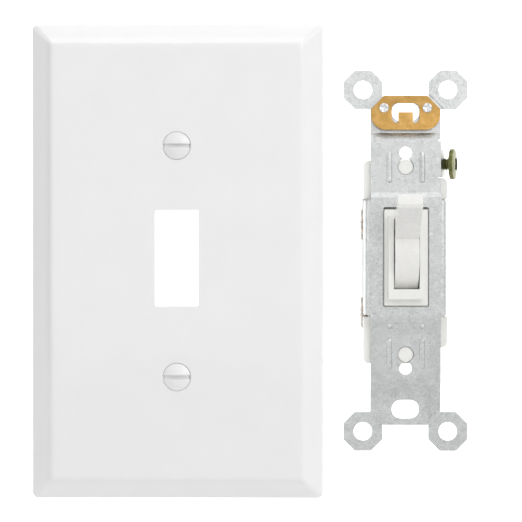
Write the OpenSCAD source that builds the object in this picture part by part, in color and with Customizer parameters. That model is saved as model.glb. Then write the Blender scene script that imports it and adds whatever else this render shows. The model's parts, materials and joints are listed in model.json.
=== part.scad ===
// Framed toggle wall switch, single pole, with its one-gang wall plate and the two plate screws.
// X is to the right, Y goes into the wall, Z is up. The origin is midway between the two
// mounting slots, on the back face of the strap's ears, which is the plane of the wall.
// The plate stands beside the switch, in front of the wall plane, ready to be fitted.

/* [Mounting strap] */
// Length of the strap without its ears
strap_len = 92.2; // [80:0.1:112]
// Width of the strap at its ends
strap_w = 19.6; // [18.6:0.1:24]
// Thickness of the strap's sheet
strap_t = 1.2; // [0.9:0.1:1.5]
// How far the screw pads stand in front of the strap's ends
pad_rise = 1.2; // [0.8:0.1:1.6]
// How far the middle stands in front of the screw pads
mid_rise = 0.9; // [0.6:0.1:1.2]
// Width over the two side flanges
flange_w = 23.1; // [21.5:0.1:28]
// Outer radius of the flange bends
flange_r = 1.65; // [1.4:0.05:2]
// How far the flanges reach behind the wall plane
flange_back = 3.2; // [2:0.1:4]
// Height of the flanged middle
flange_h = 32; // [30:0.5:36]
// Height of the middle's centre above the origin
flange_z = 0.85; // [0:0.05:1.5]
// Distance between the two tapped holes
tap_pitch = 60.32; // [56:0.01:72]
// Diameter of the tapped holes
tap_d = 3.5; // [3:0.1:4]
// Distance between the two mounting slots
slot_pitch = 83.34; // [76:0.01:100]
// Length of a mounting slot
slot_l = 7.7; // [6:0.1:9]
// Width of a mounting slot
slot_w = 5.2; // [4.4:0.1:6]
// Width across the flats of a break-off ear
ear_af = 10.9; // [10:0.1:12]
// Diameter of an ear's hole
ear_hole = 5.2; // [4.4:0.1:6]
// Distance of an ear's centre from the middle line
ear_x = 11.9; // [11:0.1:14.5]
// Distance between the upper and the lower ears' centres
ear_pitch = 95.8; // [84:0.1:116]
// Size of the strap's corner chamfers
corner_cut = 3.6; // [3:0.1:4.5]

/* [Ground tab and screw] */
// Angle that the ground tab is bent back by
tab_bend = 74; // [66:1:82]
// Length of the ground tab
tab_len = 8.8; // [8:0.1:10]
// Height of the ground tab
tab_h = 9.8; // [9:0.1:10.6]
// Diameter of the ground screw's head
gs_head = 8.7; // [7:0.1:9]
// Length of the ground screw's shank behind the tab's face
gs_len = 6.4; // [4:0.1:6.6]

/* [Case and toggle frame] */
// Height of the case
case_h = 56.8; // [54:0.1:68]
// Width of the case
case_w = 23.5; // [22.5:0.1:29]
// How far the case reaches behind the wall plane
case_back = 25; // [24.6:0.1:30]
// Thickness of the case's walls
case_wall = 2.15; // [1.6:0.05:2.3]
// Width of the raised toggle frame
frame_w = 10.1; // [9.6:0.1:11]
// Height of the raised toggle frame
frame_h = 23.2; // [22.4:0.1:24.4]
// How far the toggle frame stands in front of the wall plane
frame_front = 6.4; // [6:0.1:8]
// Margin of the frame's ledge around the frame
ledge_margin = 1; // [0.6:0.1:1.4]
// Gap between the ledge and the strap's window
window_gap = 0.4; // [0.3:0.05:0.6]

/* [Toggle] */
// Width of the toggle
toggle_w = 6.7; // [6:0.1:6.9]
// Gap between the toggle and the sides of its slot
toggle_gap = 0.25; // [0.2:0.05:0.35]
// Radius of the toggle's drum
drum_r = 11.2; // [10.4:0.1:11.4]
// Length of the lever from the toggle's axis
lever_len = 25.9; // [20:0.1:31]
// Thickness of the lever at its tip
lever_t = 4.8; // [3.6:0.1:4.8]
// Tilt of the toggle at either end of its travel
toggle_tilt = 35; // [30:1:36]
// Height of the toggle's axis above the origin
axis_z = 1.85; // [1.2:0.05:2.2]
// Depth of the toggle's axis behind the wall plane
axis_y = 2.6; // [2.4:0.1:2.8]

/* [Contacts and terminals] */
// Width of the contact arm
arm_w = 6; // [4:0.1:6.4]
// Thickness of the contact arm
arm_t = 1; // [0.8:0.1:1.2]
// Angle that the arm opens by
arm_open = 7; // [6:0.5:8]
// Diameter of the silver contacts
contact_d = 3.2; // [2.4:0.1:3.4]
// Thickness of a silver contact
contact_t = 0.8; // [0.6:0.1:0.9]
// Diameter of a terminal screw's head
ts_head = 7.5; // [6.4:0.1:8]
// Length of a terminal screw's shank
ts_len = 5.2; // [4:0.1:5.6]
// Thickness of the brass terminals
term_t = 1.2; // [1:0.1:1.4]
// Diameter of the push-in wire holes
wire_d = 2.7; // [2.3:0.1:3]

/* [Wall plate] */
// Width of the wall plate
plate_w = 76.7; // [69.8:0.1:96]
// Height of the wall plate
plate_h = 124.7; // [114.3:0.1:150]
// Depth of the wall plate
plate_d = 5.8; // [5:0.1:7]
// Thickness of the wall plate's face
plate_t = 2.1; // [1.8:0.1:2.5]
// Width of the bevel all round the plate
plate_bevel = 6; // [4:0.1:8]
// Width of the plate's toggle opening
opening_w = 11.3; // [10.7:0.1:12.4]
// Height of the plate's toggle opening
opening_h = 25; // [24:0.1:27]
// How far the plate stands beside the switch
plate_side = 62.1; // [58:0.1:80]
// How far the plate stands in front of the wall plane
plate_out = 27.6; // [26:0.1:34]

/* [Plate screws] */
// Diameter of a plate screw's oval head
ps_head = 7.1; // [6.6:0.1:7.2]
// Length of a plate screw under the rim of its head
ps_len = 12.7; // [9:0.1:13]
// Diameter of the screws' shanks
screw_d = 3.4; // [3:0.05:3.4]

/* [Hidden] */

eps = 0.01;
fit = 0.05;
big = 300;
round_fn = 64;

// Strap levels, as Y of the front face; each back face is one sheet behind.
end_y = -strap_t;
pad_y = end_y - pad_rise;
mid_y = pad_y - mid_rise;
strap_top = strap_len / 2;
flange_top = flange_z + flange_h / 2;
flange_low = flange_z - flange_h / 2;
// Ramps of the strap, from the top to the bottom.
gc_low = slot_pitch / 2 - 5.1;
pad_top_z = min(tap_pitch / 2 + 5.6, gc_low - 0.8);
pad_top = [pad_top_z, pad_top_z - 2.1];
pad_low = [-tap_pitch / 2 - 3.8, -tap_pitch / 2 - 6.8];
mid_top = [flange_top + 2.25, flange_top + 0.85];
mid_low = [flange_low - 2.2, flange_low - 4.05];
boss_d = 4.2;
boss_hole = boss_d + 0.3;
case_z = -0.4;
case_top = case_z + case_h / 2;
case_low = case_z - case_h / 2;
boss_z = min(tap_pitch / 2 - tap_d / 2 - boss_hole / 2 + 0.1, case_top - boss_d / 2 + 0.4);
rib_w = 1.8;
rib_len = 9;
rib_x = 4.6;
rib_z = tap_pitch / 2 - 4.1;
rib_up = 0.45;
bump_r = 0.8;
score_w = 0.5;
score_d = 0.35;
neck_w = 4.7;

// Ground tab: the corner of the screw pad that it is bent from, and its own directions.
tab_z = tap_pitch / 2 - 1.66;
tab_corner = [strap_w / 2, pad_y];
tab_hole_u = 5;
tab_r = 2.2;
tab_relief = 0.6;
gs_z = -1.3;
gs_t = 1.1;
gs_dome = 0.5;
gs_stand = 1.9;
gs_socket = 3.2;
gs_cut = 1.1;

// Frame, ledge and case.
frame_z = 0.9;
ledge_w = frame_w + 2 * ledge_margin;
ledge_h = frame_h + 2 * ledge_margin + 1.6;
ledge_y = mid_y - 0.2;
window_w = ledge_w + 2 * window_gap;
window_h = ledge_h + 2 * window_gap;
ledge_top = frame_z + ledge_h / 2;
top_gap = 0.65;
cover_back = 1.5;
cover_mid_y = mid_y + strap_t;
cover_end_y = pad_y + strap_t;
case_half = max(case_w / 2, flange_w / 2 + 0.2);
case_r = 1.4;
wing_top = tab_z - tab_h / 2 - (case_half > strap_w / 2 + 2.1 ? 1.2 : 0.4);
wing_low = case_low + 4.5;
notch_x = 3.9;
neck_half = flange_w / 2 - strap_t - 0.1;
plateau_half = neck_half - flange_r + strap_t;
flange_room = flange_back + 0.4;
floor_y = case_back - 2;
cavity_x = min(case_half - case_wall, neck_half - 0.65);
cavity_top = wing_top - case_wall;
cavity_low = wing_low + case_wall;
slot_half_w = toggle_w / 2 + toggle_gap;
slot_half_h = frame_h / 2 - 1.85;
drum_gap = 0.3;
trunnion_r = 1.6;
trunnion_x = 5.5;
cheek_w = 2.2;
cheek_half = 3;
cheek_back = axis_y + 2.6;

// Toggle and its cam.
drum_wrap = toggle_tilt + asin(slot_half_h / drum_r) - 86;
cam_reach = 13.5;
cam_r = 1.2;
cam_w = 5;
hub_r = 3.4;
lever_root_t = lever_t + 0.4;

// Contact arm: pivot, and the outline of its front face when the contacts are closed.
arm_y = 15.5;
arm_z = -13.5;
arm_roll = 0.8;
arm_rest_y = arm_y - 1.1;
arm_valley_y = arm_y + 1.5;
arm_end_y = arm_y - 0.1;
contact_z = 14.5;
arm_end_z = contact_z + 2;
moving_front = arm_end_y - contact_t;
fixed_back = moving_front - 0.1;
bar_back = fixed_back - contact_t;
bar_t = 1;
spring_z = 2.2;
spring_r = 2;
spring_wire = 0.5;
spring_turns = 3;

// Terminals on the left side.
term_x = -cavity_x;
load_z = 10.2;
line_z = -14.8;
ts_y = 8;
ts_t = 2.6;
ts_dome = 1.5;
ts_cut = 0.9;
term_half = 4.3;
term_front = 3.8;
term_back = 21;
window_half = ts_head / 2 + 0.45;
wire_x = term_x + 2.7;
load_wire_z = load_z;
line_wire_z = line_z - 4;
clip_t = 0.5;
clip_h = 4.6;
clip_far = 3.2;

// Ground clip.
gc_t = 0.45;
gc_gap = 0.05;
gc_bend_z = slot_pitch / 2 - 0.45;
gc_cut_z = strap_top - corner_cut;
gc_angle = 12;
rivet_x = 6.05;
rivet_z = slot_pitch / 2 + 1.1;
rivet_r = 0.9;
rivet_head = 1.3;
rivet_flare = 0.4;

// Wall plate.
bevel_lip = 1.5;
plate_r = 1.4;
cone_top = ps_head / 2 + 0.2;
shank_hole = 4.2;
cone_h = 1.9;

// ---------------------------------------------------------------- helpers
// A rectangle in X and Z with round corners, as a slab from y0 to y1.
module slab(x0, x1, z0, z1, y0, y1, r = 0) {
  translate([0, y1, 0])
    rotate([90, 0, 0])
      linear_extrude(height = y1 - y0)
        rounded(x0, x1, z0, z1, r);
}

module rounded(x0, x1, z0, z1, r) {
  if (r <= 0) {
    translate([x0, z0]) square([x1 - x0, z1 - z0]);
  } else {
    translate([x0 + r, z0]) square([x1 - x0 - 2 * r, z1 - z0]);
    translate([x0, z0 + r]) square([x1 - x0, z1 - z0 - 2 * r]);
    for (x = [x0 + r, x1 - r], z = [z0 + r, z1 - r])
      translate([x, z]) circle(r, $fn = round_fn);
  }
}

// A round bar along Y, from y0 to y1.
module rod_y(x, z, r, y0, y1) {
  translate([x, y0, z]) rotate([-90, 0, 0]) cylinder(h = y1 - y0, r = r, $fn = round_fn);
}

// A round bar along X, from x0 to x1.
module rod_x(y, z, r, x0, x1) {
  translate([x0, y, z]) rotate([0, 90, 0]) cylinder(h = x1 - x0, r = r, $fn = round_fn);
}

// An outline of [y, z] points, made into a bar along X.
module bar_x(points, x0, x1) {
  translate([x0, 0, 0])
    rotate([90, 0, 90])
      linear_extrude(height = x1 - x0)
        polygon(points);
}

// Turns its children about an X axis through (y, z).
module turn_x(angle, y, z) {
  translate([0, y, z]) rotate([angle, 0, 0]) translate([0, -y, -z]) children();
}

// ---------------------------------------------------------------- strap
function strap_line(shift) = [
  [end_y + shift, strap_top + 1],
  [end_y + shift, pad_top[0]],
  [pad_y + shift, pad_top[1]],
  [pad_y + shift, mid_top[0]],
  [mid_y + shift, mid_top[1]],
  [mid_y + shift, mid_low[0]],
  [pad_y + shift, mid_low[1]],
  [pad_y + shift, pad_low[0]],
  [end_y + shift, pad_low[1]],
  [end_y + shift, -strap_top - 1]
];

function reversed(points) = [for (i = [len(points) - 1:-1:0]) points[i]];

module strap_outline() {
  half = strap_w / 2;
  polygon([
    [-half, strap_top - corner_cut], [-half + corner_cut, strap_top],
    [half - corner_cut, strap_top], [half, strap_top - corner_cut],
    [half, -strap_top + corner_cut], [half - corner_cut, -strap_top],
    [-half + corner_cut, -strap_top], [-half, -strap_top + corner_cut]
  ]);
}

// The channel's section in X and Y: a flat front with a bent flange at each side.
module flange_section() {
  half = flange_w / 2;
  inner_r = flange_r - strap_t;
  difference() {
    union() {
      translate([-half, mid_y + flange_r]) square([flange_w, flange_back - mid_y - flange_r]);
      translate([-half + flange_r, mid_y]) square([flange_w - 2 * flange_r, flange_back - mid_y]);
      for (s = [-1, 1])
        translate([s * (half - flange_r), mid_y + flange_r]) circle(flange_r, $fn = round_fn);
    }
    translate([-half + strap_t, mid_y + flange_r])
      square([flange_w - 2 * strap_t, big]);
    translate([-half + flange_r, mid_y + strap_t])
      square([flange_w - 2 * flange_r, big]);
    for (s = [-1, 1])
      translate([s * (half - flange_r), mid_y + flange_r]) circle(inner_r, $fn = round_fn);
  }
}

module flanges() {
  corner = 2.5;
  intersection() {
    translate([0, 0, flange_low]) linear_extrude(height = flange_h) flange_section();
    translate([-big / 2, 0, 0])
      rotate([90, 0, 90])
        linear_extrude(height = big)
          rounded(mid_y - corner - 1, flange_back, flange_low, flange_top, corner);
  }
}

module ear(sx, sz) {
  translate([sx * ear_x, 0, sz * ear_pitch / 2])
    rotate([90, 22.5, 0])
      cylinder(h = strap_t, r = ear_af / 2 / cos(22.5), $fn = 8);
}

// The short neck that joins an ear to the strap's chamfered corner.
module ear_neck(sx, sz) {
  cx = strap_w / 2 - corner_cut / 2;
  cz = strap_top - corner_cut / 2;
  translate([sx * cx, 0, sz * cz])
    rotate([0, -45 * sx * sz, 0])
      translate([sx > 0 ? -0.6 : -1.4, -strap_t, -neck_w / 2])
        cube([2, strap_t, neck_w]);
}

module ear_score(sx, sz) {
  cx = strap_w / 2 - corner_cut / 2 + 0.35;
  cz = strap_top - corner_cut / 2 + 0.35;
  translate([sx * cx, end_y, sz * cz])
    rotate([0, -45 * sx * sz, 0])
      cube([score_w, 2 * score_d, neck_w + 2], center = true);
}

// Places its children in the ground tab's frame: X along the tab, Y out of its outer face.
module tab_place() {
  translate([tab_corner[0], tab_corner[1], tab_z])
    rotate([0, 0, tab_bend])
      children();
}

// The tab's section in X and Y: the pad's edge, then the tab bent back from its corner.
function tab_section() =
  let (x = tab_corner[0], y = tab_corner[1], along = [cos(tab_bend), sin(tab_bend)],
    across = [-sin(tab_bend), cos(tab_bend)], far = tab_corner + (tab_len + 1) * along)
  [[x - 2, y + strap_t], [x - 2, y], [x, y], far, far + strap_t * across,
    [x - strap_t * tan(tab_bend / 2), y + strap_t]];

module ground_tab() {
  intersection() {
    translate([0, 0, tab_z - tab_h / 2]) linear_extrude(height = tab_h) polygon(tab_section());
    translate([-big / 2, 0, 0])
      rotate([90, 0, 90])
        linear_extrude(height = big)
          rounded(pad_y - 2 * tab_r, pad_y + tab_len * sin(tab_bend),
            tab_z - tab_h / 2, tab_z + tab_h / 2, tab_r);
  }
}

module mounting_strap() {
  color([0.80, 0.82, 0.82])
  difference() {
    union() {
      intersection() {
        bar_x(concat(strap_line(0), reversed(strap_line(strap_t))), -strap_w / 2, strap_w / 2);
        translate([0, big / 2, 0]) rotate([90, 0, 0]) linear_extrude(height = big) strap_outline();
      }
      flanges();
      for (sx = [-1, 1], sz = [-1, 1]) {
        ear(sx, sz);
        ear_neck(sx, sz);
      }
      ground_tab();
      for (sx = [-1, 1], sz = [-1, 1])
        strap_rib(sx, sz);
      for (sx = [-1, 1])
        translate([sx * rib_x, (mid_y + pad_y) / 2 + 0.35, (mid_low[0] + mid_low[1]) / 2])
          sphere(bump_r, $fn = round_fn);
    }
    for (sz = [-1, 1]) {
      rod_y(0, sz * tap_pitch / 2, tap_d / 2, -big / 2, big / 2);
      rod_y(0, sz * boss_z, boss_hole / 2, -big / 2, big / 2);
      slab(-slot_l / 2, slot_l / 2, sz * slot_pitch / 2 - slot_w / 2, sz * slot_pitch / 2 + slot_w / 2,
        -big / 2, big / 2, slot_w / 2 - eps);
      for (sx = [-1, 1]) {
        rod_y(sx * ear_x, sz * ear_pitch / 2, ear_hole / 2, -big / 2, big / 2);
        ear_score(sx, sz);
      }
    }
    for (sx = [-1, 1]) {
      rod_y(sx * rivet_x, rivet_z, rivet_r + fit, -big / 2, big / 2);
      rivet_sink(sx * rivet_x, fit, eps);
    }
    slab(-window_w / 2, window_w / 2, frame_z - window_h / 2, ledge_top + top_gap,
      -big / 2, big / 2, 0.6);
    tab_place()
      translate([tab_hole_u, 0, gs_z]) rotate([90, 0, 0])
        cylinder(h = 3 * strap_t, r = screw_d / 2 + fit, center = true, $fn = round_fn);
    for (z = [tab_z - tab_h / 2 - tab_relief, tab_z + tab_h / 2])
      slab(strap_w / 2 - tab_relief, strap_w / 2 + 1, z, z + tab_relief, pad_y - 1, pad_y + strap_t + 1);
  }
}

// A pressed rib on a screw pad, beside the tapped hole.
module strap_rib(sx, sz) {
  half = rib_len / 2 - rib_w / 2;
  intersection() {
    translate([sx * rib_x, pad_y - rib_up + rib_w / 2, sz * rib_z]) {
      translate([0, 0, -half]) cylinder(h = 2 * half, r = rib_w / 2, $fn = round_fn);
      for (s = [-1, 1])
        translate([0, 0, s * half]) sphere(rib_w / 2, $fn = round_fn);
    }
    translate([-big / 2, pad_y + strap_t / 2 - big, -big / 2]) cube(big);
  }
}

// ---------------------------------------------------------------- ground clip and screw
module clip_blank() {
  half = strap_w / 2 - 0.15;
  r = 4.2;
  top = strap_top + 0.1;
  difference() {
    intersection() {
      polygon([
        [-half, gc_cut_z], [-half + corner_cut, top], [half - corner_cut, top], [half, gc_cut_z],
        [half, gc_low - 1], [-half, gc_low - 1]
      ]);
      rounded(-half, half, gc_low, top + 2 * r, r);
    }
    difference() {
      rounded(-slot_l / 2, slot_l / 2, slot_pitch / 2 - 3.2, slot_pitch / 2 + 2.4, 1.5);
      translate([-2.05, slot_pitch / 2 - 4]) square([4.1, 3.9]);
    }
    for (s = [-1, 1])
      translate([s * rivet_x, rivet_z]) circle(rivet_r + fit, $fn = round_fn);
  }
}

// The clip's section in Y and Z: flat on the strap, then bent forward below the fold.
function clip_line(shift) =
  let (y = end_y - gc_gap - shift, z = gc_low - 1)
  [[y, strap_top + 1], [y, gc_bend_z], [y - (gc_bend_z - z) * tan(gc_angle), z]];

module ground_clip() {
  color([0.80, 0.62, 0.32])
  intersection() {
    bar_x(concat(clip_line(0), reversed(clip_line(gc_t))), -strap_w / 2, strap_w / 2);
    rotate([90, 0, 0]) linear_extrude(height = big, center = true) clip_blank();
  }
}

module clip_rivets() {
  front = end_y - gc_gap - gc_t;
  color([0.82, 0.83, 0.84])
  for (s = [-1, 1]) {
    rod_y(s * rivet_x, rivet_z, rivet_r, front - eps, 0);
    rod_y(s * rivet_x, rivet_z, rivet_head, front - 0.3, front);
    rivet_sink(s * rivet_x, 0, 0);
  }
}

// The flare that holds a rivet, flush with the strap's back.
module rivet_sink(x, room, past) {
  translate([x, -rivet_flare, rivet_z])
    rotate([-90, 0, 0])
      cylinder(h = rivet_flare + past, r1 = rivet_r + room, r2 = rivet_r + room + rivet_flare, $fn = round_fn);
}

module ground_screw() {
  color([0.42, 0.44, 0.16])
  tab_place()
    translate([tab_hole_u, -eps, gs_z])
      rotate([90, 0, 0]) {
        translate([0, 0, -gs_len])
          cylinder(h = gs_len + gs_stand + eps, r = screw_d / 2, $fn = round_fn);
        translate([0, 0, gs_stand]) ground_screw_head();
      }
}

// The round head, with its back at z = 0: a low dome with a square socket.
module ground_screw_head() {
  ball = (gs_head * gs_head / 4 + gs_dome * gs_dome) / (2 * gs_dome);
  top = gs_t + gs_dome;
  difference() {
    union() {
      cylinder(h = gs_t, r = gs_head / 2, $fn = round_fn);
      intersection() {
        translate([0, 0, top - ball]) sphere(ball, $fn = round_fn);
        translate([0, 0, gs_t - eps]) cylinder(h = 1, r = gs_head / 2, $fn = round_fn);
      }
    }
    translate([-gs_socket / 2, -gs_socket / 2, top - gs_cut])
      cube([gs_socket, gs_socket, 2]);
  }
}

// ---------------------------------------------------------------- cover and case
// The outline that the cover and the case share, less a margin all round.
module case_outline(margin = 0) {
  half = case_half - margin;
  top = case_top - margin;
  low = case_low + margin;
  r = max(case_r - margin, 0.3);
  body = strap_w / 2 - 0.4 - margin;
  rounded(-half, notch_x - margin, wing_low + margin, top, r);
  rounded(-half, half, wing_low + margin, wing_top - margin, r);
  rounded(-half, body, low, wing_top - margin, r);
}

// Leaves room for the strap's side flanges.
module flange_relief() {
  for (s = [-1, 1])
    translate([s > 0 ? neck_half : -neck_half - big, -big, flange_low - 0.6])
      cube([big, big + flange_room, flange_h + 1.2]);
}

module front_cover() {
  color([0.92, 0.92, 0.90])
  difference() {
    union() {
      translate([0, cover_back, 0]) rotate([90, 0, 0])
        linear_extrude(height = cover_back - cover_end_y) case_outline();
      slab(-plateau_half, plateau_half, mid_low[0] + 0.4, mid_top[1] - 0.4, cover_mid_y, cover_end_y + eps);
      slab(-ledge_w / 2, ledge_w / 2, frame_z - ledge_h / 2, frame_z + ledge_h / 2,
        ledge_y, cover_mid_y + eps, 0.4);
      slab(-frame_w / 2, frame_w / 2, frame_z - frame_h / 2, frame_z + frame_h / 2,
        -frame_front, ledge_y + eps, 0.4);
      for (s = [-1, 1]) {
        rod_y(0, s * boss_z, boss_d / 2, pad_y + 0.3, cover_end_y + eps);
        slab(s > 0 ? slot_half_w : -slot_half_w - cheek_w, s > 0 ? slot_half_w + cheek_w : -slot_half_w,
          axis_z - cheek_half, axis_z + cheek_half, cover_back - eps, cheek_back);
      }
    }
    flange_relief();
    slab(-ledge_w / 2, ledge_w / 2, ledge_top, ledge_top + top_gap, cover_mid_y - 1, cover_back - 1);
    slab(-slot_half_w, slot_half_w, axis_z - slot_half_h, axis_z + slot_half_h, -big / 2, big / 2);
    rod_x(axis_y, axis_z, drum_r + drum_gap, -slot_half_w, slot_half_w);
    rod_x(axis_y, axis_z, trunnion_r + fit, -trunnion_x - 0.2, trunnion_x + 0.2);
    slab(-trunnion_x - 0.2, trunnion_x + 0.2, axis_z - trunnion_r - fit, axis_z + trunnion_r + fit,
      axis_y, big / 2);
  }
}

// A post of the case that closes a trunnion's bearing from behind.
module bearing_post(side) {
  x0 = side > 0 ? slot_half_w + 0.1 : -slot_half_w - cheek_w + 0.1;
  difference() {
    slab(x0, x0 + cheek_w - 0.2, axis_z - trunnion_r + 0.05, axis_z + trunnion_r - 0.05, axis_y + 0.4, floor_y + eps);
    rod_x(axis_y, axis_z, trunnion_r + fit, x0 - 1, x0 + cheek_w + 1);
  }
}

module rear_case() {
  color([0.91, 0.91, 0.89])
  difference() {
    union() {
      difference() {
        translate([0, case_back, 0]) rotate([90, 0, 0])
          linear_extrude(height = case_back - cover_back) case_outline();
        slab(-cavity_x, cavity_x, cavity_low, cavity_top, cover_back - 1, floor_y);
        flange_relief();
      }
      for (s = [-1, 1])
        bearing_post(s);
      case_ribs();
    }
    for (z = [load_z, line_z])
      slab(-big / 2, term_x + eps, z - window_half, z + window_half, cover_back - 1, ts_y + window_half);
    for (z = [load_wire_z, line_wire_z]) {
      rod_y(wire_x, z, wire_d / 2, floor_y - 1, case_back + 1);
      slab(wire_x + 2, wire_x + 3.3, z - 1.6, z + 1.6, floor_y - 1, case_back + 1);
    }
  }
}

// Shelves inside the case that carry the line terminal and the fixed contact's bar.
module case_ribs() {
  slab(3.3, cavity_x + eps, contact_z - 2, contact_z + 2, bar_back - bar_t - 2, floor_y + eps);
  slab(-6.4, cavity_x + eps, arm_z - 2, arm_z + 1, arm_y + 2.3, floor_y + eps);
  rod_y(0, spring_z, 1.1, floor_y - 1, floor_y + eps);
}

// ---------------------------------------------------------------- toggle
// All of the drum but a wedge behind the axis, so that it fills its slot at both end stops.
function drum_sector() =
  let (far = 2 * drum_r, y = far * sin(drum_wrap), z = far * cos(drum_wrap))
  [[0, 0], [y, z], [y, 2 * far], [-2 * far, 2 * far], [-2 * far, -2 * far], [y, -2 * far], [y, -z]];

// Drawn pointing straight out of the wall; toggle() tilts it up to its end stop.
module toggle_straight() {
  half = toggle_w / 2;
  tip = axis_y - lever_len;
  difference() {
    union() {
      intersection() {
        rod_x(axis_y, axis_z, drum_r, -half, half);
        translate([0, axis_y, axis_z]) bar_x(drum_sector(), -half, half);
      }
      rod_x(axis_y, axis_z, hub_r, -half, half);
      bar_x([
        [axis_y, axis_z - lever_root_t / 2], [tip + 0.8, axis_z - lever_t / 2],
        [tip, axis_z - lever_t / 2 + 0.8], [tip, axis_z + lever_t / 2 - 0.8],
        [tip + 0.8, axis_z + lever_t / 2], [axis_y, axis_z + lever_root_t / 2]
      ], -half, half);
      bar_x([
        [axis_y, axis_z - 2.4], [axis_y + cam_reach, axis_z - cam_r],
        [axis_y + cam_reach, axis_z + cam_r], [axis_y, axis_z + 2.4]
      ], -cam_w / 2, cam_w / 2);
      rod_x(axis_y + cam_reach, axis_z, cam_r, -cam_w / 2, cam_w / 2);
    }
  }
  rod_x(axis_y, axis_z, trunnion_r, -trunnion_x, trunnion_x);
}

module toggle() {
  color([0.94, 0.94, 0.92])
  turn_x(-toggle_tilt, axis_y, axis_z) toggle_straight();
}

// ---------------------------------------------------------------- contacts
function arm_line(shift) = [
  [arm_rest_y + shift, arm_z],
  [arm_rest_y + shift, arm_z + 6.9],
  [arm_valley_y + shift, arm_z + 13],
  [arm_valley_y + shift, arm_z + 18],
  [arm_end_y + shift, arm_z + 23.1],
  [arm_end_y + shift, arm_end_z]
];

module contact_arm() {
  color([0.72, 0.45, 0.28])
  turn_x(-arm_open, arm_y, arm_z) {
    bar_x(concat(arm_line(0), reversed(arm_line(arm_t))), -arm_w / 2, arm_w / 2);
    rod_x(arm_y, arm_z, arm_roll, -arm_w / 2, arm_w / 2);
  }
}

module moving_contact() {
  color([0.85, 0.85, 0.86])
  turn_x(-arm_open, arm_y, arm_z) rod_y(0, contact_z, contact_d / 2, moving_front, arm_end_y);
}

module fixed_contact() {
  color([0.85, 0.85, 0.86])
  rod_y(0, contact_z, contact_d / 2, bar_back, fixed_back);
}

// A short compression spring between the case's floor and the contact arm's back.
module contact_spring() {
  back = floor_y - 0.02;
  front = back - 2.7;
  pitch = (back - front - spring_wire) / spring_turns;
  steps = 14;
  color([0.75, 0.76, 0.78])
  translate([0, back - spring_wire / 2, spring_z])
    rotate([90, 0, 0])
      for (i = [0:spring_turns])
        translate([0, 0, i * pitch])
          rotate_extrude($fn = round_fn)
            translate([spring_r - spring_wire / 2, 0]) circle(spring_wire / 2, $fn = steps);
}

// ---------------------------------------------------------------- terminals
module side_plate(z, z0, z1) {
  difference() {
    slab(term_x, term_x + term_t, z0, z1, term_front, term_back);
    rod_x(ts_y, z, screw_d / 2 + fit, term_x - 1, term_x + term_t + 1);
  }
}

module load_terminal() {
  color([0.80, 0.64, 0.34]) {
    side_plate(load_z, load_z - term_half, contact_z + 2.2);
    slab(term_x, 3.2, contact_z - 2.2, contact_z + 2.2, bar_back - bar_t, bar_back);
  }
}

module line_terminal() {
  color([0.80, 0.64, 0.34]) {
    side_plate(line_z, line_wire_z - 2.9, line_z + term_half);
    difference() {
      slab(term_x, 3.2, arm_z - 1.8, arm_z + 1.2, arm_y + 0.4, arm_y + 2.2);
      rod_x(arm_y, arm_z, arm_roll + fit, -arm_w / 2 - 0.4, big);
    }
  }
}

// A round-headed terminal screw along X, with its head to the left.
module terminal_screw(z) {
  seat = term_x - eps;
  crown = ts_t - ts_dome;
  ball = (ts_head * ts_head / 4 + ts_dome * ts_dome) / (2 * ts_dome);
  color([0.66, 0.62, 0.55])
  difference() {
    union() {
      rod_x(ts_y, z, screw_d / 2, seat - eps, seat + ts_len);
      rod_x(ts_y, z, ts_head / 2, seat - crown, seat);
      intersection() {
        translate([seat - crown - ts_dome + ball, ts_y, z]) sphere(ball, $fn = round_fn);
        rod_x(ts_y, z, ts_head / 2, seat - ts_t - 1, seat - crown + eps);
      }
    }
    translate([seat - ts_t + ts_cut - 2, ts_y - ts_head, z - 0.5]) cube([2, 2 * ts_head, 1]);
  }
}

module line_screw() {
  terminal_screw(line_z);
}

module load_screw() {
  terminal_screw(load_z);
}

// A bent leaf that grips a pushed-in wire against the terminal's side plate.
module push_clip(z) {
  x0 = term_x + term_t + fit;
  color([0.78, 0.79, 0.80])
  translate([0, 0, z - clip_h / 2])
    linear_extrude(height = clip_h)
      polygon([
        [x0, 14], [x0 + clip_far, 14], [x0 + clip_far, 14.6], [x0 + 1.1, 20.2],
        [x0 + 0.6, 20], [x0 + clip_far - clip_t - 0.2, 14 + clip_t],
        [x0 + clip_t, 14 + clip_t], [x0 + clip_t, 17], [x0, 17]
      ]);
}

module line_push_clip() {
  push_clip(line_wire_z);
}

module load_push_clip() {
  push_clip(load_wire_z);
}

// ---------------------------------------------------------------- wall plate
// The plate's section: from the rim at y = 0 over the bevel to the face.
function bevel_line(half, depth) = [
  [half, 0],
  [half, -bevel_lip],
  [half - plate_bevel * 0.28, -depth + (depth - bevel_lip) * 0.42],
  [half - plate_bevel * 0.65, -depth + (depth - bevel_lip) * 0.1],
  [half - plate_bevel, -depth]
];

function mirrored(points) = [for (p = reversed(points)) [-p[0], p[1]]];

module plate_block(half_w, half_h, depth, r) {
  intersection() {
    translate([0, 0, -big / 2]) linear_extrude(height = big)
      polygon(concat(bevel_line(half_w, depth), mirrored(bevel_line(half_w, depth))));
    rotate([0, -90, 0]) translate([0, 0, -big / 2]) linear_extrude(height = big)
      polygon(concat(bevel_line(half_h, depth), mirrored(bevel_line(half_h, depth))));
    slab(-half_w, half_w, -half_h, half_h, -depth - 1, 1, r);
  }
}

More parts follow.
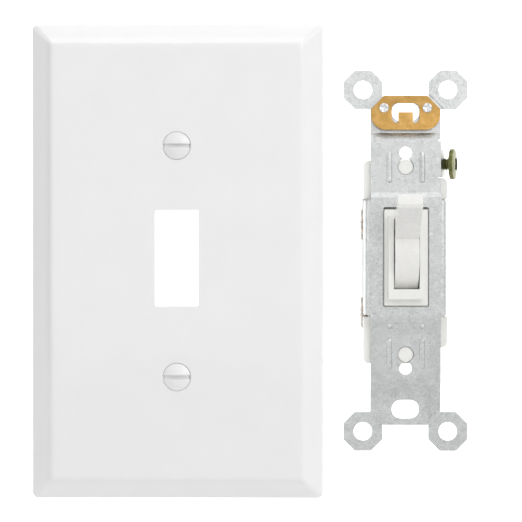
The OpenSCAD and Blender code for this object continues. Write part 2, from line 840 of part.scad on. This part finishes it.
module wall_plate() {
  inner_w = plate_w / 2 - plate_t;
  inner_h = plate_h / 2 - plate_t;
  color([0.97, 0.97, 0.97])
  translate([-plate_side, -plate_out, 0])
    difference() {
      plate_block(plate_w / 2, plate_h / 2, plate_d, plate_r);
      translate([0, 0.01, 0])
        plate_block(inner_w, inner_h, plate_d - plate_t, 0.5);
      slab(-opening_w / 2, opening_w / 2, frame_z - opening_h / 2, frame_z + opening_h / 2,
        -plate_d - 1, 1, 0.3);
      for (s = [-1, 1]) {
        rod_y(0, s * tap_pitch / 2, shank_hole / 2, -plate_d - 1, 1);
        translate([0, -plate_d - eps, s * tap_pitch / 2]) rotate([-90, 0, 0])
          cylinder(h = cone_h, r1 = cone_top, r2 = shank_hole / 2, $fn = round_fn);
      }
    }
}

module plate_screw(z) {
  face = -plate_d;
  dome = 0.9;
  cone = 1.6;
  ball = (ps_head * ps_head / 4 + dome * dome) / (2 * dome);
  difference() {
    union() {
      translate([0, face, z]) rotate([-90, 0, 0])
        cylinder(h = cone, r1 = ps_head / 2, r2 = screw_d / 2, $fn = round_fn);
      rod_y(0, z, screw_d / 2, face + cone - eps, face + ps_len);
      intersection() {
        translate([0, face - dome + ball, z]) sphere(ball, $fn = round_fn);
        rod_y(0, z, ps_head / 2, face - 2, face + eps);
      }
    }
    translate([-ps_head, face - 2, z - 0.5]) cube([2 * ps_head, 2.3, 1]);
  }
}

module plate_screws() {
  color([0.95, 0.95, 0.95])
  translate([-plate_side, -plate_out, 0])
    for (s = [-1, 1])
      plate_screw(s * tap_pitch / 2);
}

mounting_strap();
ground_clip();
clip_rivets();
ground_screw();
front_cover();
rear_case();
toggle();
contact_arm();
moving_contact();
fixed_contact();
contact_spring();
line_terminal();
load_terminal();
line_screw();
load_screw();
line_push_clip();
load_push_clip();
wall_plate();
plate_screws();
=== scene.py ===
"""Looks of the toggle wall switch and its wall plate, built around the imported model."""
import json
import math

import bmesh
import bpy
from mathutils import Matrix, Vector


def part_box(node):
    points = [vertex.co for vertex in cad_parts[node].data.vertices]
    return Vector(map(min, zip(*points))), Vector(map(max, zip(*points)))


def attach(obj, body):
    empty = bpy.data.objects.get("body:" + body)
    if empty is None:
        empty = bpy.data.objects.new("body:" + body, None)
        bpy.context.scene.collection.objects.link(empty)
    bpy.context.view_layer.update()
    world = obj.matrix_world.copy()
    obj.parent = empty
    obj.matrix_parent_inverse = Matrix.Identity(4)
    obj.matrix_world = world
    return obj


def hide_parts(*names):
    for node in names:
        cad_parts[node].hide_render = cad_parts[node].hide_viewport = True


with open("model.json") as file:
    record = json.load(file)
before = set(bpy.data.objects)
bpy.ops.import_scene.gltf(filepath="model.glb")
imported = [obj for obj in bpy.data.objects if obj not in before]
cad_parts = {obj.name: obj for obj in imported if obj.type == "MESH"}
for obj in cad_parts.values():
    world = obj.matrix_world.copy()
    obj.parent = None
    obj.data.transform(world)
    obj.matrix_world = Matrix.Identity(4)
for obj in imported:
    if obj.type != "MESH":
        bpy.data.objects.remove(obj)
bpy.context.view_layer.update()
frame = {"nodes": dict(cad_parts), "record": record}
NODES = frame["nodes"]
MM = 0.001
BODY_OF = {n: b for b, members in frame["record"]["behaviour"]["bodies"].items() for n in members}
SLOT_OF = {s["node"]: s["material_slot"] for s in frame["record"]["subparts"]}


# ------------------------------------------------------------------ camera
VIEW_DISTANCE = 0.450
VIEW_AZIMUTH = math.radians(0.65)
VIEW_ELEVATION = math.radians(0.40)
VIEW_TARGET = Vector((-0.0405, 0.0, -0.0001))
FOCAL_MM = 110.3
SENSOR_MM = 36.0


def make_camera():
    data = bpy.data.cameras.new("camera")
    data.lens = FOCAL_MM
    data.sensor_width = SENSOR_MM
    data.clip_start = 0.01
    camera = bpy.data.objects.new("camera", data)
    bpy.context.scene.collection.objects.link(camera)
    flat = math.cos(VIEW_ELEVATION)
    back = Vector((math.sin(VIEW_AZIMUTH) * flat, -math.cos(VIEW_AZIMUTH) * flat,
                   math.sin(VIEW_ELEVATION)))
    camera.location = VIEW_TARGET + back * VIEW_DISTANCE
    camera.rotation_euler = (-back).to_track_quat("-Z", "Y").to_euler()
    bpy.context.scene.camera = camera


# ------------------------------------------------------------------ node helpers
class Nodes:
    """A short way to write a material's node tree."""

    def __init__(self, name):
        self.material = bpy.data.materials.new(name)
        self.material.use_nodes = True
        self.tree = self.material.node_tree
        self.shader = self.tree.nodes["Principled BSDF"]
        self.place = self.add("ShaderNodeTexCoord").outputs["Object"]

    def add(self, kind, **settings):
        node = self.tree.nodes.new(kind)
        for key, value in settings.items():
            if key in node.inputs:
                node.inputs[key].default_value = value
            else:
                setattr(node, key, value)
        return node

    def link(self, a, b):
        self.tree.links.new(a, b)

    def set(self, **sockets):
        for key, value in sockets.items():
            self.shader.inputs[key.replace("_", " ")].default_value = value

    def noise(self, scale, detail=3.0, rough=0.5, stretch=None):
        tex = self.add("ShaderNodeTexNoise", Scale=scale, Detail=detail, Roughness=rough)
        source = self.place
        if stretch:
            mapping = self.add("ShaderNodeMapping")
            mapping.inputs["Scale"].default_value = stretch
            self.link(source, mapping.inputs["Vector"])
            source = mapping.outputs["Vector"]
        self.link(source, tex.inputs["Vector"])
        return tex.outputs["Fac"]

    def cells(self, scale, randomness=1.0):
        tex = self.add("ShaderNodeTexVoronoi", Scale=scale, Randomness=randomness)
        self.link(self.place, tex.inputs["Vector"])
        return tex.outputs["Color"]

    def ramp(self, fac, stops):
        node = self.add("ShaderNodeValToRGB")
        node.color_ramp.elements[0].position = stops[0][0]
        node.color_ramp.elements[0].color = (*stops[0][1], 1.0)
        node.color_ramp.elements[1].position = stops[-1][0]
        node.color_ramp.elements[1].color = (*stops[-1][1], 1.0)
        for pos, colour in stops[1:-1]:
            node.color_ramp.elements.new(pos).color = (*colour, 1.0)
        self.link(fac, node.inputs["Fac"])
        return node.outputs["Color"]

    def span(self, fac, low, high, from_low=0.3, from_high=0.7):
        node = self.add("ShaderNodeMapRange")
        node.inputs["From Min"].default_value = from_low
        node.inputs["From Max"].default_value = from_high
        node.inputs["To Min"].default_value = low
        node.inputs["To Max"].default_value = high
        self.link(fac, node.inputs["Value"])
        return node.outputs["Result"]

    def blend(self, fac, a, b, mode="MIX"):
        node = self.add("ShaderNodeMix", data_type="RGBA", blend_type=mode)
        if isinstance(fac, float):
            node.inputs["Factor"].default_value = fac
        else:
            self.link(fac, node.inputs["Factor"])
        for socket, value in (("A", a), ("B", b)):
            target = [i for i in node.inputs if i.name == socket and i.type == "RGBA"][0]
            if isinstance(value, tuple):
                target.default_value = (*value, 1.0)
            else:
                self.link(value, target)
        return [o for o in node.outputs if o.type == "RGBA"][0]

    def bump(self, height, strength, distance):
        node = self.add("ShaderNodeBump", Strength=strength, Distance=distance)
        self.link(height, node.inputs["Height"])
        last = self.shader.inputs["Normal"]
        if last.is_linked:
            self.link(last.links[0].from_socket, node.inputs["Normal"])
        self.link(node.outputs["Normal"], last)

    def colour(self, socket):
        self.link(socket, self.shader.inputs["Base Color"])

    def roughness(self, socket):
        self.link(socket, self.shader.inputs["Roughness"])


# ------------------------------------------------------------------ materials
def white_plastic(name, colour, rough, grain, gloss_coat=0.0):
    m = Nodes(name)
    m.set(Metallic=0.0, IOR=1.49)
    if gloss_coat:
        m.set(Coat_Weight=gloss_coat, Coat_Roughness=0.05)
    darker = tuple(c * 0.985 for c in colour)
    m.colour(m.ramp(m.noise(90.0, 4.0), [(0.35, darker), (0.65, colour)]))
    m.roughness(m.span(m.noise(260.0, 3.0), rough * 0.85, rough * 1.2))
    m.bump(m.noise(2600.0, 2.0), grain, 0.00004)
    return m.material


def galvanised(name):
    m = Nodes(name)
    m.set(Metallic=1.0)
    spangle = m.cells(900.0)
    grains = m.add("ShaderNodeRGBToBW")
    m.link(spangle, grains.inputs["Color"])
    grains = grains.outputs["Val"]
    fine = m.noise(3800.0, 4.0, 0.7)
    broad = m.noise(160.0, 4.0)
    zinc = m.ramp(fine, [(0.3, (0.44, 0.46, 0.46)), (0.7, (0.84, 0.85, 0.85))])
    flakes = m.blend(0.35, zinc, grains, "SOFT_LIGHT")
    m.colour(m.blend(m.span(broad, 0.0, 0.5), flakes, (0.70, 0.71, 0.71)))
    m.roughness(m.span(m.noise(1400.0, 4.0, 0.6), 0.24, 0.42))
    m.bump(m.noise(2600.0, 6.0, 0.75), 0.75, 0.00010)
    m.bump(m.noise(500.0, 3.0, 0.5, (1.0, 1.0, 0.12)), 0.10, 0.00004)
    return m.material


def metal(name, colour, rough, brushed=(1.0, 1.0, 1.0), tint=None):
    m = Nodes(name)
    m.set(Metallic=1.0)
    darker = tuple(c * 0.80 for c in colour)
    other = tint or tuple(min(1.0, c * 1.06) for c in colour)
    m.colour(m.ramp(m.noise(420.0, 5.0, 0.65), [(0.30, darker), (0.50, colour), (0.72, other)]))
    m.roughness(m.span(m.noise(1300.0, 4.0, 0.6, brushed), rough * 0.75, rough * 1.3))
    m.bump(m.noise(1800.0, 4.0, 0.6, brushed), 0.18, 0.00003)
    return m.material


def make_materials():
    return {
        "galvanised_steel": galvanised("galvanised steel"),
        "clip_brass": metal("clip brass", (0.56, 0.33, 0.10), 0.32, (0.15, 1.0, 1.0), (0.70, 0.44, 0.17)),
        "rivet_steel": metal("rivet steel", (0.78, 0.79, 0.80), 0.28),
        "ground_screw_green": metal("green plating", (0.17, 0.18, 0.07), 0.30, tint=(0.40, 0.33, 0.20)),
        "cover_plastic": white_plastic("cover plastic", (0.87, 0.87, 0.84), 0.32, 0.10),
        "case_plastic": white_plastic("case plastic", (0.88, 0.88, 0.86), 0.42, 0.14),
        "toggle_plastic": white_plastic("toggle plastic", (0.86, 0.855, 0.835), 0.26, 0.06, 0.2),
        "arm_copper": metal("arm copper", (0.78, 0.40, 0.24), 0.30),
        "silver_contact": metal("silver", (0.90, 0.89, 0.86), 0.24),
        "spring_steel": metal("spring steel", (0.60, 0.61, 0.63), 0.26),
        "terminal_brass": metal("terminal brass", (0.78, 0.58, 0.28), 0.32),
        "terminal_screw_metal": metal("terminal screw plating", (0.24, 0.195, 0.16), 0.28,
                                      tint=(0.40, 0.30, 0.22)),
        "push_clip_bronze": metal("phosphor bronze", (0.74, 0.50, 0.28), 0.30),
        "plate_plastic": white_plastic("plate plastic", (0.90, 0.90, 0.90), 0.16, 0.03, 0.5),
        "plate_screw_enamel": white_plastic("screw enamel", (0.88, 0.88, 0.88), 0.22, 0.05, 0.3),
    }


# ------------------------------------------------------------------ pieces from CAD nodes
def refined(node, width, sharp=28.0, segments=2):
    """A copy of a CAD node's mesh, welded, with its hard edges rounded."""
    mesh = NODES[node].data.copy()
    mesh.name = node + "_fine"
    bm = bmesh.new()
    bm.from_mesh(mesh)
    bmesh.ops.remove_doubles(bm, verts=bm.verts, dist=2e-6)
    bmesh.ops.dissolve_limit(bm, angle_limit=math.radians(0.6), verts=bm.verts, edges=bm.edges)
    limit = math.radians(sharp)
    hard = [e for e in bm.edges if len(e.link_faces) == 2 and e.calc_face_angle(0.0) > limit]
    bmesh.ops.bevel(bm, geom=hard, offset=width, offset_type="OFFSET", segments=segments,
                    profile=0.5, affect="EDGES", clamp_overlap=True)
    bm.normal_update()
    bm.to_mesh(mesh)
    bm.free()
    piece = smooth_object(node + "_fine", mesh)
    finish_piece(piece, node)
    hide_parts(node)
    return piece


def smooth_object(name, mesh):
    """An object with smooth shading whose flat faces keep their own normals."""
    mesh.shade_smooth()
    mesh.set_sharp_from_angle(angle=math.radians(42))
    piece = bpy.data.objects.new(name, mesh)
    bpy.context.scene.collection.objects.link(piece)
    level = piece.modifiers.new("flat faces", "WEIGHTED_NORMAL")
    level.keep_sharp = True
    level.weight = 100
    return piece


def join_rings(bm, first, second, flip=False):
    count = len(first)
    for i in range(count):
        quad = [first[i], first[(i + 1) % count], second[(i + 1) % count], second[i]]
        bm.faces.new(reversed(quad) if flip else quad)


def closed_mesh(bm, name):
    """Turns the faces outward and hands the finished mesh over."""
    bmesh.ops.recalc_face_normals(bm, faces=bm.faces)
    mesh = bpy.data.meshes.new(name)
    bm.to_mesh(mesh)
    bm.free()
    return mesh


def finish_piece(piece, node):
    """Puts a piece on its CAD node's body, in that node's material slot."""
    piece.data.materials.clear()
    piece.data.materials.append(MATERIALS[SLOT_OF[node]])
    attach(piece, BODY_OF[node])


# How wide each CAD node's hard edges are rounded.
EDGE_WIDTH = {
    "mounting_strap": 0.07 * MM,
    "ground_clip": 0.08 * MM,
    "front_cover": 0.18 * MM,
    "rear_case": 0.30 * MM,
    "toggle": 0.45 * MM,
    "contact_arm": 0.10 * MM,
    "moving_contact": 0.15 * MM,
    "fixed_contact": 0.15 * MM,
    "line_terminal": 0.10 * MM,
    "load_terminal": 0.10 * MM,
    "line_push_clip": 0.06 * MM,
    "load_push_clip": 0.06 * MM,
}


# ------------------------------------------------------------------ screws and rivets
# The screws' and rivets' places and sizes repeat part.scad's values.
SCREW_R = 1.70 * MM
ROOT_R = 1.40 * MM
ROOT_OVERLAP = 0.05 * MM
THREAD_PITCH = 0.80 * MM
THREAD_HALF = 0.42
CREST_SHARE = 0.15
TURN_STEPS = 28
FADE_STEPS = 8
SHANK_SEARCH = (0.1 * MM, 0.02 * MM, 0.04 * MM)
TAB_BEND = math.radians(74)
TAB_OUT = Vector((math.sin(TAB_BEND), -math.cos(TAB_BEND), 0.0))
TAB_ROOT = (9.8 * MM, -2.4 * MM)
TAB_REACH = 5 * MM
TAB_Z = 27.2 * MM
GROUND_AXIS = Vector((TAB_ROOT[0] + TAB_REACH * math.cos(TAB_BEND),
                      TAB_ROOT[1] + TAB_REACH * math.sin(TAB_BEND), TAB_Z))
SIDE_X = -9.6 * MM
SIDE_Y = 8 * MM
SIDE_SHANK = -5.2 * MM
LEFT = Vector((-1.0, 0.0, 0.0))
FRONT = Vector((0.0, -1.0, 0.0))
# Each node's edge width and its screws: a point on the axis, the way out of the hole, and the
# shank's two ends along that way.
SCREWS = {
    "ground_screw": (0.12 * MM, [(GROUND_AXIS, TAB_OUT, -6.4 * MM, 1.9 * MM)]),
    "line_screw": (0.12 * MM, [(Vector((SIDE_X, SIDE_Y, -14.8 * MM)), LEFT, SIDE_SHANK, 0.0)]),
    "load_screw": (0.12 * MM, [(Vector((SIDE_X, SIDE_Y, 10.2 * MM)), LEFT, SIDE_SHANK, 0.0)]),
    "plate_screws": (0.07 * MM, [(Vector((-62.1 * MM, -31.8 * MM, z * MM)), FRONT, -11.1 * MM, 0.0)
                                 for z in (-30.16, 30.16)]),
}


def thin_shank(mesh, spot, out, low, high):
    """Takes a shank's plain side in to the thread's root."""
    below, above, off = SHANK_SEARCH
    for v in mesh.vertices:
        along = (v.co - spot).dot(out)
        radial = v.co - spot - out * along
        if low - below < along < high + above and abs(radial.length - SCREW_R) < off:
            v.co = spot + out * along + radial * (ROOT_R / radial.length)


def thread_mesh(name, spot, out, low, high):
    """A closed helical ridge from the root to the crest, run out at both ends."""
    side = Vector((0.0, 0.0, 1.0))
    other = out.cross(side)
    half = THREAD_PITCH * THREAD_HALF
    start, stop = low + half, high - half
    count = int((stop - start) / THREAD_PITCH * TURN_STEPS)
    root = ROOT_R - ROOT_OVERLAP
    bm = bmesh.new()
    rings = []
    for k in range(count + 1):
        angle = math.tau * k / TURN_STEPS
        centre = start + THREAD_PITCH * k / TURN_STEPS
        fade = min(1.0, k / FADE_STEPS, (count - k) / FADE_STEPS)
        crest = ROOT_R + (SCREW_R - ROOT_R) * fade
        ring = []
        for radius, offset in ((root, -half), (crest, -half * CREST_SHARE),
                               (crest, half * CREST_SHARE), (root, half)):
            spoke = (side * math.cos(angle) + other * math.sin(angle)) * radius
            ring.append(bm.verts.new(spot + out * (centre + offset) + spoke))
        rings.append(ring)
    for first, second in zip(rings, rings[1:]):
        join_rings(bm, first, second)
    bm.faces.new(rings[0][::-1])
    bm.faces.new(rings[-1])
    return closed_mesh(bm, name)


def make_screws():
    for node, (width, screws) in SCREWS.items():
        body = refined(node, width, segments=3)
        for number, screw in enumerate(screws):
            thin_shank(body.data, *screw)
            name = f"{node}_thread_{number}"
            finish_piece(smooth_object(name, thread_mesh(name, *screw)), node)


RIVET_X = 6.05 * MM
RIVET_Z = 42.77 * MM
RIVET_STEPS = 32
# Each ring of the split head: its radius, then how deep its sunk and its raised wedges lie, in mm.
RIVET_HEAD = [(0.28, 0.20, 0.12), (0.62, 0.22, 0.03), (0.98, 0.17, 0.0)]
WEDGE_TURN = 2
WEDGE_STEPS = 8
SUNK_STEPS = 3
# From the head's rim to the flare in the strap's back, in mm: radius, then depth from the front.
RIVET_SIDE = [(1.22, 0.02), (1.30, 0.10), (1.30, 0.30), (0.90, 0.34), (0.90, 1.60), (1.27, 1.97)]


def rivet_mesh(x):
    """A staked rivet whose head is split into raised and sunk wedges."""
    bm = bmesh.new()
    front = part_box("clip_rivets")[0][1]

    def ring(radius, sunk, raised):
        made = []
        for k in range(RIVET_STEPS):
            angle = math.tau * k / RIVET_STEPS
            depth = sunk if (k + WEDGE_TURN) % WEDGE_STEPS < SUNK_STEPS else raised
            made.append(bm.verts.new((x + radius * MM * math.cos(angle), front + depth * MM,
                                      RIVET_Z + radius * MM * math.sin(angle))))
        return made

    rings = [ring(*row) for row in RIVET_HEAD]
    rings += [ring(radius, depth, depth) for radius, depth in RIVET_SIDE]
    for first, second in zip(rings, rings[1:]):
        join_rings(bm, first, second)
    bm.faces.new(rings[0])
    bm.faces.new(rings[-1])
    return closed_mesh(bm, "rivet")


def make_rivets():
    for side in (-1, 1):
        piece = smooth_object("rivet_left" if side < 0 else "rivet_right", rivet_mesh(side * RIVET_X))
        finish_piece(piece, "clip_rivets")
        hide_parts("clip_rivets")


# ------------------------------------------------------------------ wall plate
PLATE_LOW, PLATE_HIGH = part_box("wall_plate")
PLATE_MID = (Vector(PLATE_LOW) + Vector(PLATE_HIGH)) / 2
PLATE_HALF_W = (PLATE_HIGH[0] - PLATE_LOW[0]) / 2
PLATE_HALF_H = (PLATE_HIGH[2] - PLATE_LOW[2]) / 2
PLATE_DEPTH = PLATE_HIGH[1] - PLATE_LOW[1]
OPENING_HALF = (5.65 * MM, 12.5 * MM)
OPENING_Z = 0.9 * MM
SCREW_HALF_PITCH = 30.16 * MM
CONE_TOP = 3.75 * MM
CONE_LOW = 2.1 * MM
CONE_DEPTH = 1.9 * MM
# How the plate's face rolls over into a countersink, in mm: out from the cone's top, then down.
CONE_ROUND = [(0.15, 0.0), (0.03, 0.04), (-0.12, 0.17)]
RIM_RADIUS = 1.6 * MM
RIM_RADIUS_LEAST = 0.8 * MM
HOLLOW_RADIUS = 0.9 * MM
CORNER_STEPS = 10
OPENING_RADIUS = 0.4 * MM
OPENING_STEPS = 6
HOLE_STEPS = 48
LIP = 0.22 * MM
# How far in from the plate's edge, and how high, the outer surface runs, in mm. The hollow's
# section is the same for the inner surface.
PLATE_SECTION = [
    (0.0, 0.0), (0.0, 1.30), (0.10, 1.66), (0.38, 1.98), (0.80, 2.26), (1.50, 2.72), (2.50, 3.38),
    (3.40, 3.96), (4.10, 4.42), (4.62, 4.84), (5.05, 5.26), (5.42, 5.56), (5.85, 5.74), (6.40, 5.80),
    (7.20, 5.80),
]
HOLLOW_SECTION = [(2.1, 0.0), (2.1, 1.2), (3.3, 2.1), (5.4, 3.2), (7.6, 3.7)]


def round_rectangle(half_w, half_h, radius, steps):
    """Points of a rectangle with round corners, the same count whatever its size."""
    points = []
    for quarter, (sx, sz) in enumerate(((1, 1), (-1, 1), (-1, -1), (1, -1))):
        for k in range(steps + 1):
            angle = math.pi / 2 * (quarter + k / steps)
            points.append((sx * (half_w - radius) + radius * math.cos(angle),
                           sz * (half_h - radius) + radius * math.sin(angle)))
    return points


def add_ring(bm, outline, height, centre=(0.0, 0.0)):
    """A loop of vertices at a height in front of the plate's rim plane."""
    return [bm.verts.new((PLATE_MID.x + x + centre[0], PLATE_HIGH[1] - height, PLATE_MID.z + z + centre[1]))
            for x, z in outline]


def fill_sheet(bm, loops, facing):
    """Fills the flat area between an outer loop and the holes in it."""
    edges = []
    for loop in loops:
        for i, v in enumerate(loop):
            edge = bm.edges.get((v, loop[(i + 1) % len(loop)]))
            edges.append(edge or bm.edges.new((v, loop[(i + 1) % len(loop)])))
    made = bmesh.ops.triangle_fill(bm, use_beauty=True, use_dissolve=False, edges=edges,
                                   normal=(0.0, facing, 0.0))
    for face in [g for g in made["geom"] if isinstance(g, bmesh.types.BMFace)]:
        face.normal_update()
        if face.normal.y * facing < 0:
            face.normal_flip()


def hole_rings(bm, outline_at, levels, centre):
    rings = [add_ring(bm, outline_at(size), height, centre) for size, height in levels]
    for first, second in zip(rings, rings[1:]):
        join_rings(bm, first, second, flip=True)
    return rings[0], rings[-1]


def make_wall_plate():
    """The plate's shell, with its bevel, opening, countersinks and hollow back."""
    bm = bmesh.new()
    full_height = PLATE_SECTION[-1][1]
    outer = []
    for inset, height in PLATE_SECTION:
        inset *= MM
        radius = max(RIM_RADIUS - inset * 0.15, RIM_RADIUS_LEAST)
        outline = round_rectangle(PLATE_HALF_W - inset, PLATE_HALF_H - inset, radius, CORNER_STEPS)
        outer.append(add_ring(bm, outline, height / full_height * PLATE_DEPTH))
    inner = []
    for inset, height in HOLLOW_SECTION:
        inset *= MM
        outline = round_rectangle(PLATE_HALF_W - inset, PLATE_HALF_H - inset, HOLLOW_RADIUS, CORNER_STEPS)
        inner.append(add_ring(bm, outline, height * MM))
    for rings, flip in ((outer, False), (inner, True)):
        for first, second in zip(rings, rings[1:]):
            join_rings(bm, first, second, flip)
    join_rings(bm, outer[0], inner[0], flip=True)
    face = PLATE_DEPTH
    back_height = PLATE_HIGH[1] - inner[-1][0].co.y

    def slot_outline(extra):
        return round_rectangle(OPENING_HALF[0] + extra, OPENING_HALF[1] + extra,
                               OPENING_RADIUS + extra, OPENING_STEPS)

    def circle(radius):
        angles = [math.tau * k / HOLE_STEPS for k in range(HOLE_STEPS)]
        return [(radius * math.cos(angle), radius * math.sin(angle)) for angle in angles]

    front_loops, back_loops = [outer[-1]], [inner[-1]]
    levels = [(LIP, face), (LIP * 0.3, face - LIP * 0.3), (0.0, face - LIP), (0.0, back_height)]
    top, low = hole_rings(bm, slot_outline, levels, (0.0, OPENING_Z - PLATE_MID.z))
    front_loops.append(top)
    back_loops.append(low)
    for sign in (-1, 1):
        levels = [(CONE_TOP + out * MM, face - down * MM) for out, down in CONE_ROUND]
        levels += [(CONE_LOW, face - CONE_DEPTH), (CONE_LOW, back_height)]
        top, low = hole_rings(bm, circle, levels, (0.0, sign * SCREW_HALF_PITCH - PLATE_MID.z))
        front_loops.append(top)
        back_loops.append(low)
    fill_sheet(bm, front_loops, -1.0)
    fill_sheet(bm, back_loops, 1.0)
    name = "wall_plate_fine"
    piece = smooth_object(name, closed_mesh(bm, name))
    finish_piece(piece, "wall_plate")
    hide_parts("wall_plate")


# ------------------------------------------------------------------ studio
def area_light(name, place, aim, size, power):
    data = bpy.data.lights.new(name, "AREA")
    data.shape = "RECTANGLE"
    data.size, data.size_y = size
    data.energy = power
    light = bpy.data.objects.new(name, data)
    light.location = place
    light.rotation_euler = (Vector(aim) - Vector(place)).to_track_quat("-Z", "Y").to_euler()
    bpy.context.scene.collection.objects.link(light)


def stage_sheet(name, corners, material):
    mesh = bpy.data.meshes.new(name)
    mesh.from_pydata(corners, [], [(0, 1, 2, 3)])
    sheet = bpy.data.objects.new(name, mesh)
    mesh.materials.append(material)
    bpy.context.scene.collection.objects.link(sheet)


STAGE_REACH = 4.0
FLOOR_Z = -0.30
BACKDROP_Y = 0.70
BACKDROP_TOP = 1.3
SKY_LEAN = (0.17, -0.52, 0.03)
SKY_LEVEL = 0.51


def make_studio():
    paper = Nodes("paper")
    paper.set(Base_Color=(0.74, 0.74, 0.74, 1.0), Roughness=0.9)
    glow = Nodes("lit paper")
    glow.set(Base_Color=(0.95, 0.95, 0.95, 1.0), Roughness=0.9)
    glow.set(Emission_Color=(1.0, 1.0, 1.0, 1.0), Emission_Strength=0.9)
    left, right = (-STAGE_REACH, STAGE_REACH)
    stage_sheet("floor", [(left, -STAGE_REACH, FLOOR_Z), (right, -STAGE_REACH, FLOOR_Z),
                          (right, BACKDROP_Y, FLOOR_Z), (left, BACKDROP_Y, FLOOR_Z)], paper.material)
    stage_sheet("backdrop", [(left, BACKDROP_Y, FLOOR_Z), (right, BACKDROP_Y, FLOOR_Z),
                             (right, BACKDROP_Y, BACKDROP_TOP), (left, BACKDROP_Y, BACKDROP_TOP)],
                glow.material)
    make_sky()
    bpy.context.scene.view_settings.view_transform = "Standard"
    area_light("key", (0.50, -0.80, 0.45), (0.0, 0.0, 0.0), (0.55, 0.55), 2.0)
    area_light("top", (-0.04, -0.10, 0.80), (-0.04, 0.0, 0.0), (0.9, 0.3), 1.2)


def make_sky():
    """A soft surround, much brighter in front than behind and a little brighter to the right."""
    world = bpy.data.worlds.new("studio")
    world.use_nodes = True
    tree = world.node_tree
    place = tree.nodes.new("ShaderNodeTexCoord")
    lean = tree.nodes.new("ShaderNodeVectorMath")
    lean.operation = "DOT_PRODUCT"
    lean.inputs[1].default_value = SKY_LEAN
    tree.links.new(place.outputs["Generated"], lean.inputs[0])
    level = tree.nodes.new("ShaderNodeMath")
    level.operation = "ADD"
    level.use_clamp = True
    level.inputs[1].default_value = SKY_LEVEL
    tree.links.new(lean.outputs["Value"], level.inputs[0])
    tree.nodes["Background"].inputs["Color"].default_value = (1.0, 1.0, 1.0, 1.0)
    tree.links.new(level.outputs["Value"], tree.nodes["Background"].inputs["Strength"])
    bpy.context.scene.world = world


make_camera()
MATERIALS = make_materials()
for node_name, edge_width in EDGE_WIDTH.items():
    refined(node_name, edge_width)
make_screws()
make_rivets()
make_wall_plate()
NODES["contact_spring"].data.materials.clear()
NODES["contact_spring"].data.materials.append(MATERIALS["spring_steel"])
make_studio()
